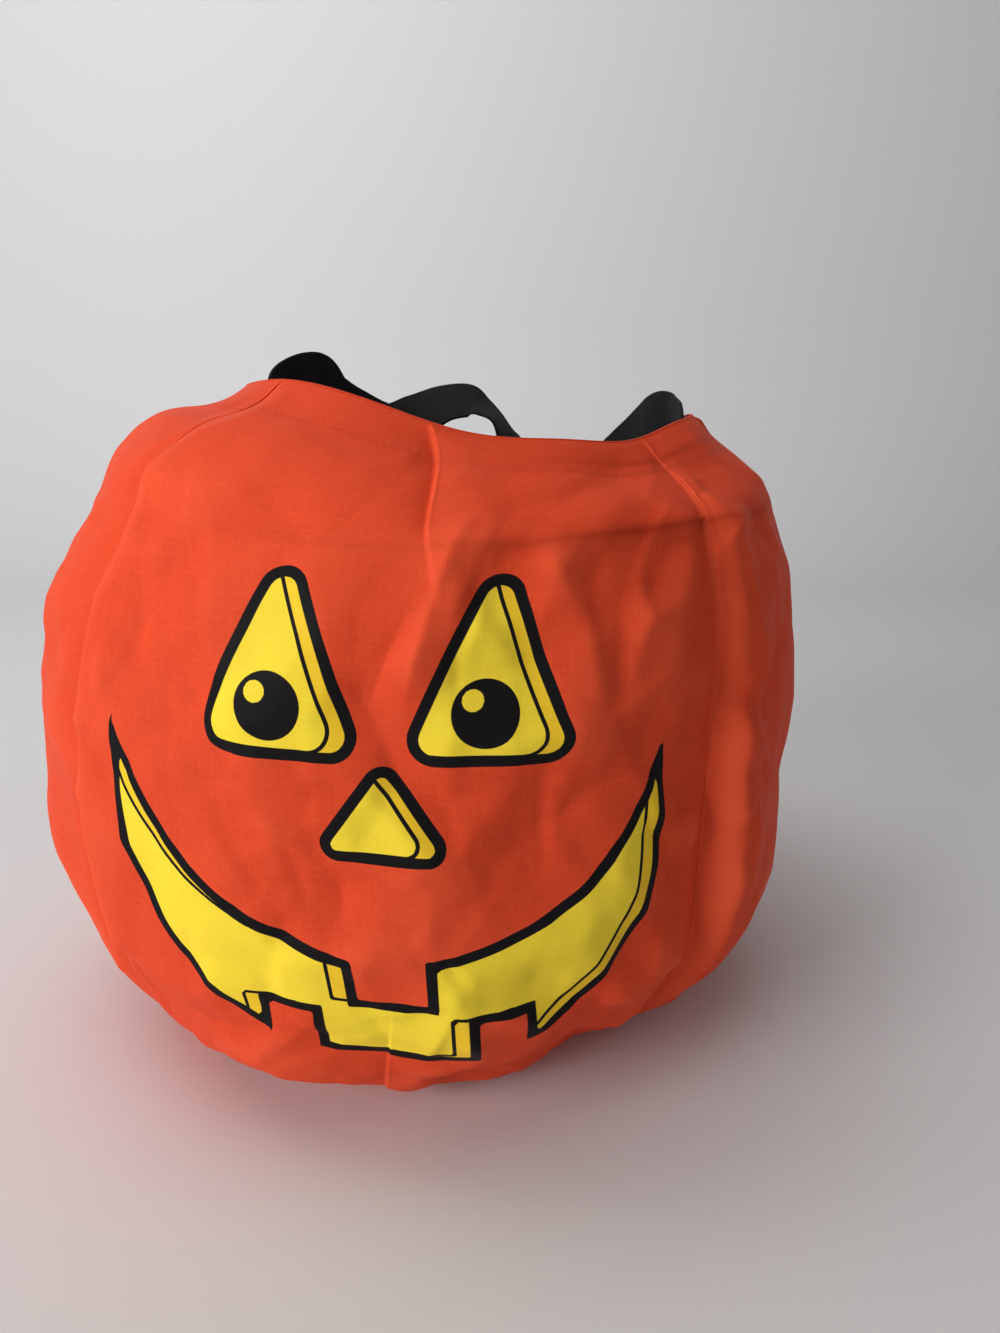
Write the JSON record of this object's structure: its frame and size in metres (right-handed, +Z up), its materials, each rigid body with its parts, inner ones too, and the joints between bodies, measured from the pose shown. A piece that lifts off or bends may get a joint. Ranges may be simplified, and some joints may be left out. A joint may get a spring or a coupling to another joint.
{
  "type": "pumpkin candy pail",
  "caption": "Soft sewn cloth pail in the round lobed form of a pumpkin, open at the top, held open by a hidden wire hoop, with a swinging strap handle.",
  "frame": {"origin": "centre of the round base, on the surface that the pail stands on", "axes": "+Z up through the mouth, +X to the pail's right as seen from the front, and the printed front panel faces -Y"},
  "size_m": [0.2418, 0.2418, 0.2047],
  "materials": {
    "orange_cloth": "thin plain-woven taffeta with a soft sheen",
    "black_strap": "flat woven strap",
    "spring_steel": "drawn wire"
  },
  "bodies": {
    "pail": {"front_panel": "orange_cloth", "right_panel": "orange_cloth", "back_panel": "orange_cloth", "left_panel": "orange_cloth", "base_panel": "orange_cloth", "mouth_facing": "orange_cloth", "hoop_channel": "orange_cloth", "hoop_wire": "spring_steel", "hoop_ferrule": "spring_steel", "left_strap_end": "black_strap", "right_strap_end": "black_strap"},
    "handle": {"handle_strap": "black_strap"}
  },
  "joints": [
    {"name": "handle_swing", "type": "hinge", "parent": "pail", "child": "handle", "pos_m": [0.017, 0, 0.186], "axis": [1, 0, 0], "range_deg": [0, 180]}
  ]
}
